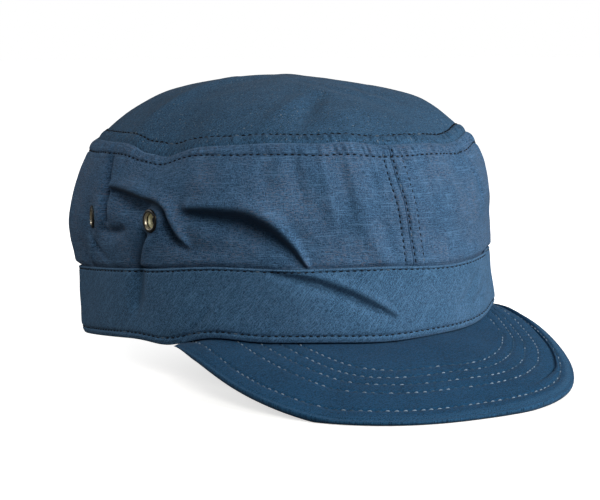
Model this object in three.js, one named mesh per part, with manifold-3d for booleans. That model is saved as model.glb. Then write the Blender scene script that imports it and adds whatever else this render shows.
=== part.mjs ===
// A soft army cap: a domed crown top, two side panels, a deep band, a stiff peak
// and four small eyelets, lying as it rests on a table.
// Millimetres. +Z is up and -Y is the wearer's front. The cap stands on Z = 0 on the
// back of its hem and on the front edge of its peak.
import * as THREE from "three";
import { mergeVertices } from "three/addons/utils/BufferGeometryUtils.js";
import Module from "manifold-3d";

const wasm = await Module();
wasm.setup();

// ---------------------------------------------------------------- driving dimensions

// The cap is shaped round the middle of its hem, and then moved along Y so that the
// origin lies under the middle of its footprint.
const FOOTPRINT_SHIFT_Y = 25.3;

const GAP = 0.3;
const TOP_THICKNESS = 1.2;
const PANEL_THICKNESS = 1.2;
const BAND_THICKNESS = 1.5;
const PEAK_THICKNESS = 3.0;

// Height of a side panel above the band, and of the band above the hem, as cut.
const PANEL_HEIGHT = 48;
const BAND_HEIGHT = 28;
// Cloth length round the cap for each degree, for placing folds.
const AROUND_PER_DEGREE = 1.66;
// How far a panel is tucked down inside the band, and the crown top inside the panels.
const PANEL_TUCK = 6;
const TOP_TUCK = 5;
// The panel swells out from behind the band over this height.
const LAP_SWELL = 3;

// Rise of the crown top over its seam, and how flat its middle is.
const DOME_RISE = 25.8;
const DOME_FULLNESS = 2.7;
// How fast the unevenness of the seam dies out towards the middle of the crown top.
const SEAM_REACH = 6;

// The hem rolls inwards over its last few millimetres.
const HEM_ROLL = { height: 5, inset: 1.2 };

// The three lines of the cap that run all the way round it, as tilted ovals.
const LINES = {
  hem: { halfLength: 101.2, halfWidth: 86.7, centreY: 0.4, backZ: -0.6, frontZ: 20.2, sideRise: 3.9 },
  bandTop: { halfLength: 101, halfWidth: 85.8, centreY: 3.6, backZ: 29.9, frontZ: 48.3, sideRise: 2.8 },
  crownSeam: { halfLength: 90, halfWidth: 78, centreY: 5.3, backZ: 93.3, frontZ: 94, sideRise: 0 },
};

// Ovals of the side panels, evenly spaced from the band up to the crown seam.
const PANEL_OVALS = [
  LINES.bandTop,
  { halfLength: 101.8, halfWidth: 87.6, centreY: 6.5 },
  { halfLength: 102, halfWidth: 87.8, centreY: 7 },
  { halfLength: 97.6, halfWidth: 84.6, centreY: 6.3 },
  LINES.crownSeam,
];

// Where a line sags or lifts. Angles go round from the front, positive to the
// wearer's left.
const WAVES = [
  { line: "crownSeam", at: -67, spread: 6.5, lift: -5.4 },
  { line: "crownSeam", at: -28, spread: 14, lift: 1.2 },
  { line: "crownSeam", at: 24, spread: 10, lift: -1.5 },
  { line: "crownSeam", at: 42, spread: 8, lift: 1.8 },
  { line: "crownSeam", at: 112, spread: 9, lift: -2.4 },
  { line: "crownSeam", at: -158, spread: 10, lift: -1.8 },
  { line: "bandTop", at: -52, spread: 13, lift: 1.2 },
  { line: "bandTop", at: 14, spread: 16, lift: -1.9 },
  { line: "hem", at: -66, spread: 7, lift: -1.9 },
  { line: "hem", at: -52, spread: 8, lift: 1.6 },
  { line: "hem", at: -8, spread: 12, lift: -1.0 },
  { line: "hem", at: 46, spread: 17, lift: 4.8 },
];

// Folds of the side panels. Each is a bowed line between two places of the cloth, given
// as millimetres round from the front seam, positive to the wearer's left, and up from
// the top of the band. The cloth is pushed in (-) or out (+) along it, and `soft` is how
// far the push reaches to the left and to the right of the line, seen from its start.
const PANEL_FOLDS = [
  { name: "long fold over the temple", from: [-90, 23], to: [-46, 1], bow: 8, soft: [3.2, 7], push: -3.4 },
  { name: "cloth hanging over it", from: [-98, 36], to: [-45, 17], bow: 6, soft: [9, 7], push: 1.3 },
  { name: "fold over front eyelet", from: [-133, 31], to: [-94, 11], bow: 9.5, soft: [2.6, 5], push: -3.2 },
  { name: "upright at eyelet", from: [-118.5, 24], to: [-126, -4], bow: -1, soft: [3.4, 2.6], push: -2.4 },
  { name: "upright behind it", from: [-145, 41], to: [-140, 20], bow: 0, soft: [3.4, 2.6], push: -2 },
  { name: "pouch between the eyelets", from: [-137, 24], to: [-131, 23], bow: 0, soft: [6, 6], push: 1.4 },
  { name: "lower edge of pouch", from: [-143, 14], to: [-128, 15], bow: -1.5, soft: [3, 3.5], push: -1.6 },
  { name: "ridge below back eyelet", from: [-148, 16], to: [-166, 0], bow: 1.5, soft: [3, 3.5], push: 1.6 },
  { name: "swell over the back band", from: [-225, 15], to: [-175, 15], bow: 0, soft: [10, 12], push: 1.6 },
  { name: "ridge beside the front seam", from: [-25, 38], to: [-12, 2], bow: -2, soft: [5, 6], push: 0.9 },
  { name: "dent off the front corner", from: [40, 44], to: [49, 31], bow: 0, soft: [3, 4], push: -1.5 },
  { name: "hollow of the front left", from: [72, 8], to: [76, 24], bow: 0, soft: [15, 15], push: -2.2 },
  { name: "slant of the left side", from: [92, 31], to: [130, 7], bow: 4, soft: [4, 6], push: -2.2 },
  { name: "upright of the left side", from: [160, 36], to: [168, 10], bow: 2, soft: [4, 5], push: -1.8 },
  { name: "fold of the back left", from: [206, 28], to: [246, 5], bow: 4, soft: [4.5, 6], push: -2 },
  { name: "fold of the back right", from: [-262, 6], to: [-224, 30], bow: 4, soft: [6, 4.5], push: -1.9 },
  { name: "pinch at the temple", from: [-116, 50], to: [-106, 50], bow: 0, soft: [7, 7], push: -1.6 },
];

// Folds of the band, measured up from the hem.
const BAND_FOLDS = [
  { name: "end of the upright fold", from: [-126, 32], to: [-126, 15], bow: 0, soft: [4, 4], push: -1.2 },
  { name: "slant of the temple", from: [-50, 25], to: [-13, 10], bow: 2, soft: [3, 5], push: -1.1 },
  { name: "upper left front crease", from: [39, 20], to: [25, 12], bow: 0, soft: [3.5, 4], push: -0.9 },
  { name: "lower left front crease", from: [57, 16], to: [35, 8], bow: 0, soft: [4, 4], push: -1.1 },
  { name: "hollow of the left temple", from: [67, 13], to: [74, 30], bow: 0, soft: [10, 10], push: -2 },
  { name: "crease of the back left", from: [205, 22], to: [240, 9], bow: 2, soft: [4, 5], push: -1.2 },
  { name: "crease of the back right", from: [-235, 10], to: [-205, 21], bow: 2, soft: [5, 4], push: -1.1 },
];

// Folds of the crown top, between two places in plan, across and along the cap from
// the middle of the hem. These push the cloth up (+) or down (-).
const TOP_FOLDS = [
  { name: "ridge over the right temple", from: [-74, -3], to: [-26, 0], bow: 2, soft: [6, 9], push: 1.6 },
  { name: "slack behind that ridge", from: [-60, 22], to: [-34, 30], bow: 0, soft: [12, 12], push: -1 },
  { name: "trough of the front", from: [-2, -34], to: [18, -62], bow: -3, soft: [6, 8], push: -1.5 },
  { name: "crest beside it", from: [-16, -24], to: [4, -54], bow: -2, soft: [4, 6], push: 0.9 },
  { name: "slack of the left side", from: [24, -14], to: [44, 16], bow: 4, soft: [9, 9], push: -1.5 },
  { name: "fullness of the left front", from: [40, -50], to: [54, -26], bow: 0, soft: [14, 14], push: 1.8 },
  { name: "crest of the left back", from: [20, 30], to: [52, 52], bow: 3, soft: [8, 8], push: 1.4 },
  { name: "hollow of the back", from: [-8, 62], to: [16, 74], bow: 0, soft: [10, 10], push: -1.6 },
];

// The peak spreads in front of the band from a point between its two ends. Its rim is
// a rounded box outline, a little askew on the band.
const PEAK = {
  centreY: -46,
  halfWidth: 77.6,
  reach: 113.4,
  squareness: 2.46,
  shiftX: -5.9,
  skew: -1.4,
  tuck: 4,
  overhang: 0.4,
  cornerThickness: 2.6,
  lyingShare: 0.82,
  riseCurve: 1.1,
  leftLift: 3.4,
  crown: 1.4,
  rimRound: 1.1,
};

// Eyelets, by their place on the side panels. The left ones mirror the right ones.
const EYELETS = [
  { name: "eyelet_right_front", angle: -67, up: 20.6 },
  { name: "eyelet_right_back", angle: -90.5, up: 19.4 },
  { name: "eyelet_left_front", angle: 67, up: 20.6 },
  { name: "eyelet_left_back", angle: 90.5, up: 19.4 },
];
const EYELET = { hole: 2.6, barrel: 3.1, flange: 4.7, washer: 4.7, seat: 0.6, lip: 0.8, sides: 12 };
// Cloth stays flat this near to an eyelet, and frees itself this sharply beyond.
const EYELET_CALM = { radius: 9.5, sharpness: 8 };

// How finely each piece is faceted.
const STEPS = { bandUp: 4, topIn: 8, peakAround: 34, peakOut: 6 };
// Steps round each half of the cap, from the front seam to the back seam. All pieces
// share them, so that facets run side by side, and the eyelets sit amid small ones.
const AROUND_STEPS = [
  { to: 63.9, steps: 14 },
  { to: 70.1, steps: 2 },
  { to: 87.4, steps: 4 },
  { to: 93.6, steps: 2 },
  { to: 180, steps: 18 },
];
// Heights of the rows of a side panel, above the top of the band.
const PANEL_ROWS = [-PANEL_TUCK, GAP, 2, 5, 10, 15, 20, 25, 29.5, 34, 38.5, 43, PANEL_HEIGHT];

const COLOURS = {
  top: { color: 0x2b4a66, roughness: 0.9, metalness: 0 },
  panel: { color: 0x2f4c69, roughness: 0.9, metalness: 0 },
  band: { color: 0x2c4d6c, roughness: 0.9, metalness: 0 },
  peak: { color: 0x244a68, roughness: 0.85, metalness: 0 },
  eyelet: { color: 0x8f8468, roughness: 0.35, metalness: 1 },
};

// ---------------------------------------------------------------- small helpers

const radians = THREE.MathUtils.degToRad;
const vector = (x, y, z) => new THREE.Vector3(x, y, z);
const bell = (distance, spread) => Math.exp(-((distance / spread) ** 2));

// Value at t (0..1) of the smooth curve through evenly spaced values.
function along(values, t) {
  const last = values.length - 1;
  const place = THREE.MathUtils.clamp(t, 0, 1) * last;
  const i = Math.min(Math.floor(place), last - 1);
  const before = i > 0 ? values[i - 1] : 2 * values[0] - values[1];
  const after = i < last - 1 ? values[i + 2] : 2 * values[last] - values[last - 1];
  const u = place - i;
  const a = values[i];
  const b = values[i + 1];
  const slopeA = (b - before) / 2;
  const slopeB = (after - a) / 2;
  const bend = 3 * (b - a) - 2 * slopeA - slopeB;
  const twist = slopeA + slopeB - 2 * (b - a);
  return a + slopeA * u + bend * u * u + twist * u * u * u;
}

// How far a fold pushes the cloth at one place of the flat cloth.
function foldPush(fold, place) {
  const run = [fold.to[0] - fold.from[0], fold.to[1] - fold.from[1]];
  const length = Math.hypot(run[0], run[1]);
  const offset = [place[0] - fold.from[0], place[1] - fold.from[1]];
  const share = (offset[0] * run[0] + offset[1] * run[1]) / length ** 2;
  const inside = THREE.MathUtils.clamp(share, 0, 1);
  const leftward = (offset[1] * run[0] - offset[0] * run[1]) / length;
  const across = leftward - fold.bow * 4 * inside * (1 - inside);
  const [left, right] = fold.soft;
  const past = Math.abs(share - inside) * length;
  return fold.push * bell(across, across > 0 ? left : right) * bell(past, (left + right) / 2);
}

// Total push of the folds of a table.
function allFolds(folds, place) {
  return folds.reduce((push, fold) => push + foldPush(fold, place), 0);
}

// 0 at an eyelet, 1 away from it.
function calm(around, up) {
  let freedom = 1;
  for (const eyelet of EYELETS) {
    const distance = Math.hypot(around - eyelet.angle * AROUND_PER_DEGREE, up - eyelet.up);
    freedom *= 1 - Math.exp(-((distance / EYELET_CALM.radius) ** EYELET_CALM.sharpness));
  }
  return freedom;
}

// ---------------------------------------------------------------- the cap's surfaces

// Height of a line at an angle from the front.
function lineHeight(name, degrees) {
  const line = LINES[name];
  const angle = radians(degrees);
  let z = line.backZ + ((line.frontZ - line.backZ) * (1 + Math.cos(angle))) / 2;
  z += line.sideRise * Math.sin(angle) ** 2;
  for (const wave of WAVES) {
    if (wave.line === name) {
      const away = THREE.MathUtils.euclideanModulo(degrees - wave.at + 180, 360) - 180;
      z += wave.lift * bell(away, wave.spread);
    }
  }
  return z;
}

// Point on an oval, set in from it by `inset` along its outward normal.
function ovalPoint(halfLength, halfWidth, centreY, degrees, z, inset) {
  const angle = radians(degrees);
  const out = vector(Math.sin(angle) / halfWidth, -Math.cos(angle) / halfLength, 0).normalize();
  const x = halfWidth * Math.sin(angle) - inset * out.x;
  const y = centreY - halfLength * Math.cos(angle) - inset * out.y;
  return vector(x, y, z);
}

// Outer face of the band, `up` millimetres above the hem.
function bandPoint(degrees, up, inset) {
  const t = up / BAND_HEIGHT;
  const mix = (key) => THREE.MathUtils.lerp(LINES.hem[key], LINES.bandTop[key], t);
  const low = Math.max(lineHeight("hem", degrees), 0);
  const z = THREE.MathUtils.lerp(low, lineHeight("bandTop", degrees), t);
  const roll = HEM_ROLL.inset * Math.max(0, 1 - up / HEM_ROLL.height) ** 2;
  const push = allFolds(BAND_FOLDS, [degrees * AROUND_PER_DEGREE, up]);
  return ovalPoint(mix("halfLength"), mix("halfWidth"), mix("centreY"), degrees, z, inset + roll - push);
}

// Outer face of a side panel, `up` millimetres above the band. Below the band's top
// it runs down inside the band.
function panelPoint(degrees, up, inset) {
  const behindBand = BAND_THICKNESS + GAP;
  if (up <= 0) {
    return bandPoint(degrees, BAND_HEIGHT + up, inset + behindBand);
  }
  const t = up / PANEL_HEIGHT;
  const value = (key) => along(PANEL_OVALS.map((oval) => oval[key]), t);
  const z = THREE.MathUtils.lerp(lineHeight("bandTop", degrees), lineHeight("crownSeam", degrees), t);
  const around = degrees * AROUND_PER_DEGREE;
  const lap = 1 - THREE.MathUtils.smoothstep(up, GAP, LAP_SWELL);
  const bandPush = allFolds(BAND_FOLDS, [around, BAND_HEIGHT]) * lap;
  const panelPush = allFolds(PANEL_FOLDS, [around, up]) * calm(around, up) * (1 - lap);
  const setIn = inset + behindBand * lap - bandPush - panelPush;
  return ovalPoint(value("halfLength"), value("halfWidth"), value("centreY"), degrees, z, setIn);
}

// Face of the crown top at `share` of the way out from its middle to its seam.
function topPoint(degrees, share) {
  const inset = PANEL_THICKNESS + GAP;
  const line = LINES.crownSeam;
  const angle = radians(degrees);
  const plain = (r) => {
    const x = (line.halfWidth - inset) * r * Math.sin(angle);
    const y = line.centreY - (line.halfLength - inset) * r * Math.cos(angle);
    const tilt = ((line.frontZ - line.backZ) * (1 + r * Math.cos(angle))) / 2;
    return vector(x, y, line.backZ + tilt + DOME_RISE * (1 - r ** DOME_FULLNESS));
  };
  const edge = panelPoint(degrees, PANEL_HEIGHT - GAP, inset);
  const point = plain(share);
  point.addScaledVector(edge.sub(plain(1)), share ** SEAM_REACH);
  point.z += allFolds(TOP_FOLDS, [point.x, point.y]) * (1 - share ** SEAM_REACH);
  return point;
}

// Distance from the peak's centre to the hem, in a direction from the front.
function hemReach(angle) {
  const { halfLength, halfWidth } = LINES.hem;
  const a = (Math.sin(angle) / halfWidth) ** 2 + (Math.cos(angle) / halfLength) ** 2;
  const b = (-2 * PEAK.centreY * Math.cos(angle)) / halfLength ** 2;
  const c = (PEAK.centreY / halfLength) ** 2 - 1;
  return (-b + Math.sqrt(b * b - 4 * a * c)) / (2 * a);
}

// Height of the hem over a point of the peak.
function hemHeightAt(x, y) {
  const angle = Math.atan2(x / LINES.hem.halfWidth, -y / LINES.hem.halfLength);
  return lineHeight("hem", THREE.MathUtils.radToDeg(angle));
}

// Inner edge of the peak's upper face, tucked in under the hem.
function peakInner(degrees) {
  const angle = radians(degrees);
  const reach = hemReach(angle) - PEAK.tuck;
  const x = reach * Math.sin(angle);
  const y = PEAK.centreY - reach * Math.cos(angle);
  return vector(x, y, hemHeightAt(x, y) - GAP);
}

// Rim of the peak's upper face, and how far it has climbed from the table (0) to the
// peak's end at the hem (1).
function peakRim(degrees) {
  const angle = radians(degrees);
  const n = PEAK.squareness;
  const sideways = Math.abs(Math.sin(angle) / PEAK.halfWidth) ** n;
  const forwards = Math.abs(Math.cos(angle) / PEAK.reach) ** n;
  const radius = (sideways + forwards) ** (-1 / n);
  const spot = new THREE.Vector2(radius * Math.sin(angle), -radius * Math.cos(angle));
  const forwardShare = -spot.y / (PEAK.reach * PEAK.lyingShare);
  const climb = THREE.MathUtils.clamp(1 - forwardShare, 0, 1) ** PEAK.riseCurve;
  const leftShare = Math.max(spot.x, 0) / PEAK.halfWidth;
  spot.rotateAround(new THREE.Vector2(0, 0), radians(PEAK.skew) * (1 - climb));
  spot.x += PEAK.shiftX * (1 - climb);
  const least = hemReach(Math.atan2(spot.x, -spot.y)) + PEAK.overhang;
  spot.setLength(Math.max(spot.length(), least));
  const y = PEAK.centreY + spot.y;
  const cornerZ = hemHeightAt(spot.x, y) - GAP;
  const lying = PEAK_THICKNESS - PEAK.rimRound + PEAK.leftLift * leftShare;
  return { point: vector(spot.x, y, THREE.MathUtils.lerp(lying, cornerZ, climb)), climb };
}

// Upper face of the peak, from the band (0) to the rim (1).
function peakPoint(degrees, share) {
  const point = peakInner(degrees).lerp(peakRim(degrees).point, share);
  point.z += PEAK.crown * 4 * share * (1 - share) * Math.cos(radians(degrees));
  return point;
}

// ---------------------------------------------------------------- meshes of thin walls

// A closed mesh from a grid of points on the outer face and one on the inner face.
// Each grid is a list of rows that run to the left of the row before, seen from
// outside. `round` joins the last row to the first, and `pole` says that the first
// point of every row is the same point.
function wall(outer, inner, { round = false, pole = false } = {}) {
  const rows = outer.length;
  const columns = outer[0].length;
  const points = [...outer.flat(), ...inner.flat()];
  const index = [];
  const outerAt = (i, j) => (i % rows) * columns + j;
  const innerAt = (i, j) => rows * columns + outerAt(i, j);
  const quad = (a, b, c, d) => index.push(a, b, c, a, c, d);
  const spans = round ? rows : rows - 1;
  for (let i = 0; i < spans; i++) {
    for (let j = 0; j < columns - 1; j++) {
      quad(outerAt(i, j), outerAt(i + 1, j), outerAt(i + 1, j + 1), outerAt(i, j + 1));
      quad(innerAt(i, j), innerAt(i, j + 1), innerAt(i + 1, j + 1), innerAt(i + 1, j));
    }
    const end = columns - 1;
    quad(outerAt(i, end), outerAt(i + 1, end), innerAt(i + 1, end), innerAt(i, end));
    if (!pole) {
      quad(outerAt(i, 0), innerAt(i, 0), innerAt(i + 1, 0), outerAt(i + 1, 0));
    }
  }
  if (!round) {
    const end = rows - 1;
    for (let j = 0; j < columns - 1; j++) {
      quad(outerAt(0, j), outerAt(0, j + 1), innerAt(0, j + 1), innerAt(0, j));
      quad(outerAt(end, j), innerAt(end, j), innerAt(end, j + 1), outerAt(end, j + 1));
    }
  }
  const geometry = new THREE.BufferGeometry().setFromPoints(points);
  geometry.setIndex(index);
  return withoutSlivers(mergeVertices(geometry, 1e-4));
}

// Drops the triangles that lost a side when their corners were merged.
function withoutSlivers(geometry) {
  const corners = geometry.index.array;
  const kept = [];
  for (let i = 0; i < corners.length; i += 3) {
    const [a, b, c] = [corners[i], corners[i + 1], corners[i + 2]];
    if (a !== b && b !== c && c !== a) {
      kept.push(a, b, c);
    }
  }
  geometry.setIndex(kept);
  return geometry;
}

// Evenly spaced numbers from first to last.
function spread(first, last, steps) {
  return Array.from({ length: steps + 1 }, (_, i) => first + ((last - first) * i) / steps);
}

// Angles from the front seam to the back seam on one side, 1 for left and -1 for right.
function halfAngles(side) {
  const angles = [0];
  for (const stretch of AROUND_STEPS) {
    angles.push(...spread(angles[angles.length - 1], stretch.to, stretch.steps).slice(1));
  }
  return angles.map((angle) => side * angle);
}

// Angles once round the cap, leftwards from the back seam.
function allAngles() {
  return [...halfAngles(-1).reverse(), ...halfAngles(1).slice(1, -1)];
}

function solid(geometry) {
  const plain = geometry.index ? geometry.toNonIndexed() : geometry.clone();
  plain.deleteAttribute("normal");
  plain.deleteAttribute("uv");
  const merged = mergeVertices(plain, 1e-4);
  return new wasm.Manifold(
    new wasm.Mesh({
      numProp: 3,
      vertProperties: new Float32Array(merged.attributes.position.array),
      triVerts: new Uint32Array(merged.index.array),
    }),
  );
}

function geometryOf(manifold) {
  const mesh = manifold.getMesh();
  const geometry = new THREE.BufferGeometry();
  geometry.setAttribute("position", new THREE.BufferAttribute(mesh.vertProperties, mesh.numProp));
  geometry.setIndex(new THREE.BufferAttribute(mesh.triVerts, 1));
  return geometry;
}

// ---------------------------------------------------------------- the pieces

const cap = new THREE.Group();
cap.position.y = FOOTPRINT_SHIFT_Y;

function addPiece(name, geometry, look) {
  const mesh = new THREE.Mesh(geometry, new THREE.MeshStandardMaterial(look));
  mesh.name = name;
  cap.add(mesh);
  return mesh;
}

// The band: one strip of cloth round the head, with its lower edge rolled into a hem.
function makeBand() {
  const angles = allAngles();
  const heights = [0, HEM_ROLL.height / 2, ...spread(HEM_ROLL.height, BAND_HEIGHT, STEPS.bandUp - 1)];
  const face = (inset) => angles.map((angle) => heights.map((up) => bandPoint(angle, up, inset)));
  return wall(face(0), face(BAND_THICKNESS), { round: true });
}

// One half of the side wall, from the back seam to the front seam, with its eyelet holes.
function makePanel(side) {
  const angles = side === "right" ? halfAngles(-1).reverse() : halfAngles(1);
  const seamShare = GAP / (180 * AROUND_PER_DEGREE);
  const middle = (angles[0] + angles[angles.length - 1]) / 2;
  const trimmed = angles.map((angle) => THREE.MathUtils.lerp(angle, middle, seamShare));
  const column = (angle, inset) => PANEL_ROWS.map((up) => panelPoint(angle, up, inset));
  const face = (inset) => trimmed.map((angle) => column(angle, inset));
  let panel = solid(wall(face(0), face(PANEL_THICKNESS)));
  for (const eyelet of EYELETS.filter(({ name }) => name.includes(side))) {
    const depth = 12 * PANEL_THICKNESS;
    const punch = new THREE.CylinderGeometry(EYELET.barrel + GAP, EYELET.barrel + GAP, depth, EYELET.sides);
    punch.applyMatrix4(eyeletPlace(eyelet));
    panel = panel.subtract(solid(punch));
  }
  return geometryOf(panel);
}

// The crown top: a soft dome whose edge turns down inside the side panels.
function makeTop() {
  const angles = allAngles().reverse();
  const shares = spread(0, 1, STEPS.topIn);
  const inset = PANEL_THICKNESS + GAP;
  const outer = angles.map((angle) => [
    ...shares.map((share) => topPoint(angle, share)),
    panelPoint(angle, PANEL_HEIGHT - TOP_TUCK, inset),
  ]);
  const inner = angles.map((angle) => [
    ...shares.map((share) => {
      const point = topPoint(angle, share * (1 - TOP_THICKNESS / LINES.crownSeam.halfWidth));
      point.z -= TOP_THICKNESS;
      return point;
    }),
    panelPoint(angle, PANEL_HEIGHT - TOP_TUCK, inset + TOP_THICKNESS),
  ]);
  return wall(outer, inner, { round: true, pole: true });
}

// The peak: a stiff crescent with a rounded rim, thicker than the cloth.
function makePeak() {
  const angles = spread(90, -90, STEPS.peakAround);
  const shares = spread(0, 1, STEPS.peakOut);
  const upper = angles.map((angle) => shares.map((share) => peakPoint(angle, share)));
  const thickness = angles.map((angle) =>
    THREE.MathUtils.lerp(PEAK_THICKNESS, PEAK.cornerThickness, peakRim(angle).climb),
  );
  const lower = upper.map((row, i) =>
    row.map((point, j) => {
      const before = upper[Math.max(i - 1, 0)][j];
      const after = upper[Math.min(i + 1, angles.length - 1)][j];
      const near = row[Math.max(j - 1, 0)];
      const far = row[Math.min(j + 1, row.length - 1)];
      const down = after.clone().sub(before).cross(far.clone().sub(near)).normalize();
      const under = point.clone().addScaledVector(down.z < 0 ? down : down.negate(), thickness[i]);
      under.z = Math.max(under.z, 0);
      return under;
    }),
  );
  const rounded = upper.map((row, i) => {
    const rim = row[row.length - 1];
    const under = lower[i][row.length - 1];
    const roundness = (PEAK.rimRound * thickness[i]) / PEAK_THICKNESS;
    const outward = rim.clone().sub(row[row.length - 2]).setZ(0).setLength(roundness);
    const middle = rim.clone().lerp(under, 0.5).add(outward);
    return [...row, middle];
  });
  const closed = lower.map((row) => [...row, row[row.length - 1].clone()]);
  return wall(rounded, closed);
}

// Matrix that carries an eyelet from its own axis, Y, to its place in the cloth.
function eyeletPlace({ angle, up }) {
  const step = 2;
  const degrees = step / AROUND_PER_DEGREE;
  const middle = PANEL_THICKNESS / 2;
  const across = panelPoint(angle + degrees, up, middle).sub(panelPoint(angle - degrees, up, middle));
  const upwards = panelPoint(angle, up + step, middle).sub(panelPoint(angle, up - step, middle));
  const out = across.clone().cross(upwards).normalize();
  const side = across.normalize();
  const rise = side.clone().cross(out);
  const place = new THREE.Matrix4().makeBasis(side, out, rise);
  return place.setPosition(panelPoint(angle, up, middle));
}

// An eyelet: a rolled outer flange, a short barrel through the cloth and a washer inside.
function makeEyelet(eyelet) {
  const seat = PANEL_THICKNESS / 2 + EYELET.seat;
  const outside = seat + EYELET.lip;
  const profile = [
    [EYELET.hole, -seat],
    [EYELET.barrel, -outside],
    [EYELET.washer, -outside],
    [EYELET.washer, -seat],
    [EYELET.barrel, -seat],
    [EYELET.barrel, seat],
    [EYELET.flange, seat],
    [EYELET.flange - EYELET.lip / 3, outside - EYELET.lip / 3],
    [EYELET.barrel + EYELET.lip / 3, outside],
    [EYELET.hole, seat],
  ];
  const points = [...profile, profile[0]].map(([radius, height]) => new THREE.Vector2(radius, height));
  const ring = new THREE.LatheGeometry(points, EYELET.sides);
  ring.applyMatrix4(eyeletPlace(eyelet));
  return ring;
}

addPiece("crown_top", makeTop(), COLOURS.top);
addPiece("side_panel_right", makePanel("right"), COLOURS.panel);
addPiece("side_panel_left", makePanel("left"), COLOURS.panel);
addPiece("band", makeBand(), COLOURS.band);
addPiece("peak", makePeak(), COLOURS.peak);
for (const eyelet of EYELETS) {
  addPiece(eyelet.name, makeEyelet(eyelet), COLOURS.eyelet);
}

export default cap;
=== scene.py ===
# Looks of a soft army cap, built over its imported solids.
import math

import bpy
import numpy as np
from mathutils import Matrix


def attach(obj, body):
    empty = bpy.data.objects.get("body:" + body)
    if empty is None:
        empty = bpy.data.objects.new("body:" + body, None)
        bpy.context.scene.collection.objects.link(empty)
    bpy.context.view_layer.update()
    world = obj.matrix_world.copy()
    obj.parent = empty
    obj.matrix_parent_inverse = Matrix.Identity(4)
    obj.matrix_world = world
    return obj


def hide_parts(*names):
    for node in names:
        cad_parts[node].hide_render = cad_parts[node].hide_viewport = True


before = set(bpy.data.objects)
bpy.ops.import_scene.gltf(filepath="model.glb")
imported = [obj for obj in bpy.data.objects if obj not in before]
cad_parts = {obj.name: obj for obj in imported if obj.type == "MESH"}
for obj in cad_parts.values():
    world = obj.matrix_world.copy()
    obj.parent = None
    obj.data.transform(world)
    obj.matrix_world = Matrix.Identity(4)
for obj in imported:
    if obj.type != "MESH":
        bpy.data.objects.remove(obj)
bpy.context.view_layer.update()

SCENE = bpy.context.scene

# ---- Shape of the cap
# Millimetres, in the cap's own frame: round the middle of its hem, -Y to the front.
# Angles go round from the front seam, positive to the wearer's left. "Around" is the
# cloth's length along the band, and "up" its length above the band or above the hem.

FOOTPRINT_SHIFT_Y = 25.3
AROUND_PER_DEGREE = 1.66
CROWN_AROUND_PER_DEGREE = 1.45
BACK = 180 * AROUND_PER_DEGREE
PANEL_HEIGHT = 48.0
BAND_HEIGHT = 28.0
DOME_RISE = 25.8
DOME_FULLNESS = 2.7
DOME_ARC = 84
SEAM_REACH = 6
HEM_ROLL = {"height": 5.0, "inset": 1.2}
BEHIND_BAND = 1.3
LAP_SWELL = 2.2
CLOTH = 0.9
TOP_CLOTH = 1.2

LINES = {
    "hem": {"length": 101.2, "width": 86.7, "y": 0.4, "back": -0.6, "front": 20.2, "side": 3.9},
    "band_top": {"length": 101.0, "width": 85.8, "y": 3.6, "back": 29.9, "front": 48.3, "side": 2.8},
    "crown_seam": {"length": 90.0, "width": 78.0, "y": 5.3, "back": 93.3, "front": 94.0, "side": 0.0},
}
HEM = LINES["hem"]
PANEL_OVALS = {
    "length": [101.0, 101.8, 102.0, 97.6, 90.0],
    "width": [85.8, 87.6, 87.8, 84.6, 78.0],
    "y": [3.6, 6.5, 7.0, 6.3, 5.3],
}
# at degrees, spread in degrees, lift
WAVES = {
    "crown_seam": [
        (-67, 6.5, -5.4), (-28, 14, 1.2), (24, 10, -1.5), (42, 8, 1.8), (112, 9, -2.4),
        (-158, 10, -1.8), (-122, 9, -1.3), (-76, 4.5, -2.4), (-65, 4, 1.3), (-40, 12, 0.8),
        (-14, 6.5, 1.4), (20, 14, 0.6), (48, 12, 0.9),
    ],
    "band_top": [(-52, 13, 1.2), (14, 16, -1.9)],
    "hem": [(-66, 7, -1.9), (-52, 8, 1.6), (-8, 12, -1.0), (46, 17, 4.8)],
}
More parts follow.
